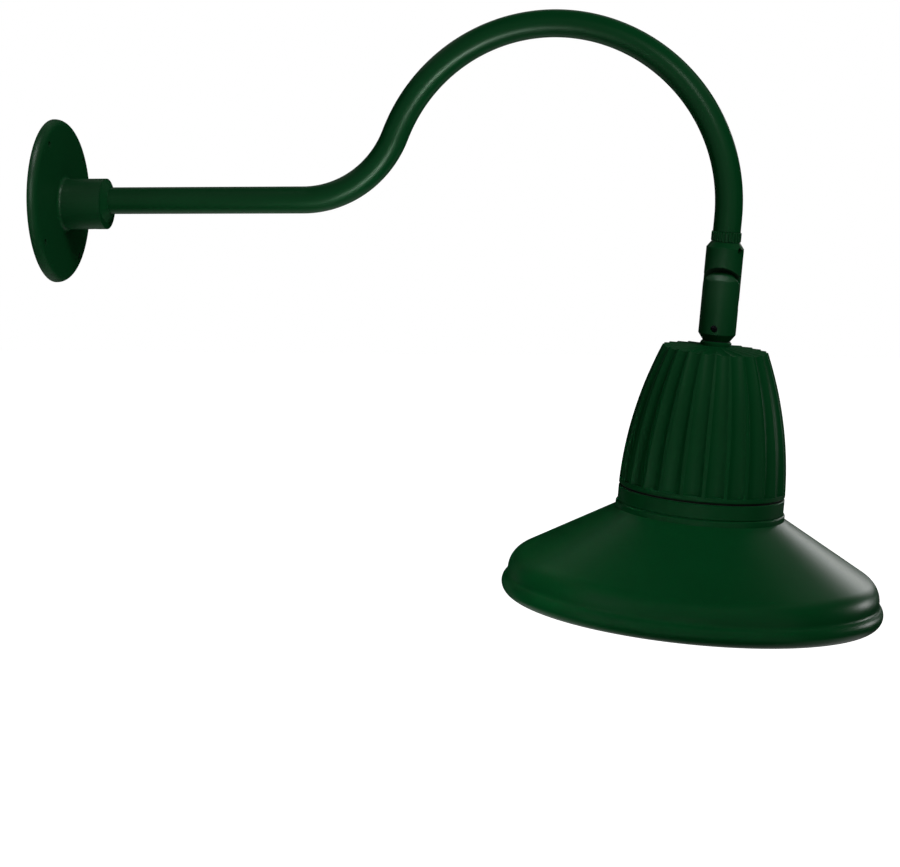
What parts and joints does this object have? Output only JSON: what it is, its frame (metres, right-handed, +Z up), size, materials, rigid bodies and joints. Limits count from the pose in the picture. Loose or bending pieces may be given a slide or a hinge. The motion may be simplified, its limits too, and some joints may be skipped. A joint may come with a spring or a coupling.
{
  "type": "gooseneck barn light",
  "caption": "Wall light with a domed round back plate, a hooked tube arm, a lockable tilting swivel, a fluted housing and a wide conical shade with a rolled edge.",
  "frame": {"origin": "centre of the wall plate's back face, on the wall plane", "axes": "+X straight out from the wall along the arm's first run, +Z up, +Y completes the right-handed frame"},
  "size_m": [0.8326, 0.374, 0.5988],
  "materials": {
    "coated_tube": "satin powder coat on steel tube",
    "coated_sheet": "satin powder coat on spun aluminium",
    "coated_casting": "satin powder coat on die-cast aluminium",
    "black_steel": "black oxide",
    "zinc_steel": "bright zinc",
    "brass_fitting": "turned",
    "seal_rubber": "matt",
    "bare_aluminium": "satin",
    "white_plastic": "matt",
    "pad_silicone": "matt",
    "board_mask": "solder mask",
    "phosphor": "silicone over phosphor",
    "clear_glass": "clear"
  },
  "bodies": {
    "base": {"wall_plate": "coated_casting", "wall_gasket": "seal_rubber", "earth_washer": "zinc_steel", "earth_screw": "zinc_steel", "arm_set_screw": "black_steel", "gooseneck_arm": "coated_tube", "arm_insert": "brass_fitting", "arm_nipple": "brass_fitting"},
    "lock_ring": {"lock_ring": "coated_casting"},
    "swivel": {"swivel_upper": "coated_casting", "upper_set_screw": "black_steel"},
    "head": {"collar_gasket": "seal_rubber", "collar_screw_1": "zinc_steel", "collar_screw_2": "zinc_steel", "collar_screw_3": "zinc_steel", "driver_case": "white_plastic", "driver_screw_1": "zinc_steel", "driver_screw_2": "zinc_steel", "head_nipple": "brass_fitting", "heat_sink": "coated_casting", "knuckle_gasket": "seal_rubber", "led_board": "board_mask", "led_emitter": "phosphor", "led_holder": "white_plastic", "led_holder_screw_1": "zinc_steel", "led_holder_screw_2": "zinc_steel", "led_plate": "bare_aluminium", "led_plate_screw_1": "zinc_steel", "led_plate_screw_2": "zinc_steel", "led_plate_screw_3": "zinc_steel", "led_plate_screw_4": "zinc_steel", "lens_gasket": "seal_rubber", "lens_glass": "clear_glass", "lens_ring": "coated_casting", "lens_ring_screw_1": "zinc_steel", "lens_ring_screw_2": "zinc_steel", "lens_ring_screw_3": "zinc_steel", "lens_ring_screw_4": "zinc_steel", "lower_set_screw": "black_steel", "neck_gasket": "seal_rubber", "nipple_nut": "brass_fitting", "pivot_screw": "black_steel", "pivot_washer": "black_steel", "reflector": "bare_aluminium", "shade": "coated_sheet", "shade_collar": "coated_casting", "swivel_lower": "coated_casting", "thermal_pad": "pad_silicone"}
  },
  "joints": [
    {"name": "lock_ring_turn", "type": "hinge", "parent": "base", "child": "lock_ring", "pos_m": [0.68085, 0, -0.0365], "axis": [0.0976, 0, 0.9952], "range_deg": [-90, 90]},
    {"name": "swivel_turn", "type": "hinge", "parent": "base", "child": "swivel", "pos_m": [0.67939, 0, -0.05143], "axis": [0.0976, 0, 0.9952], "range_deg": [-170, 170]},
    {"name": "head_tilt", "type": "hinge", "parent": "swivel", "child": "head", "pos_m": [0.67566, 0, -0.08945], "axis": [0, 1, 0], "range_deg": [-45, 45]}
  ]
}
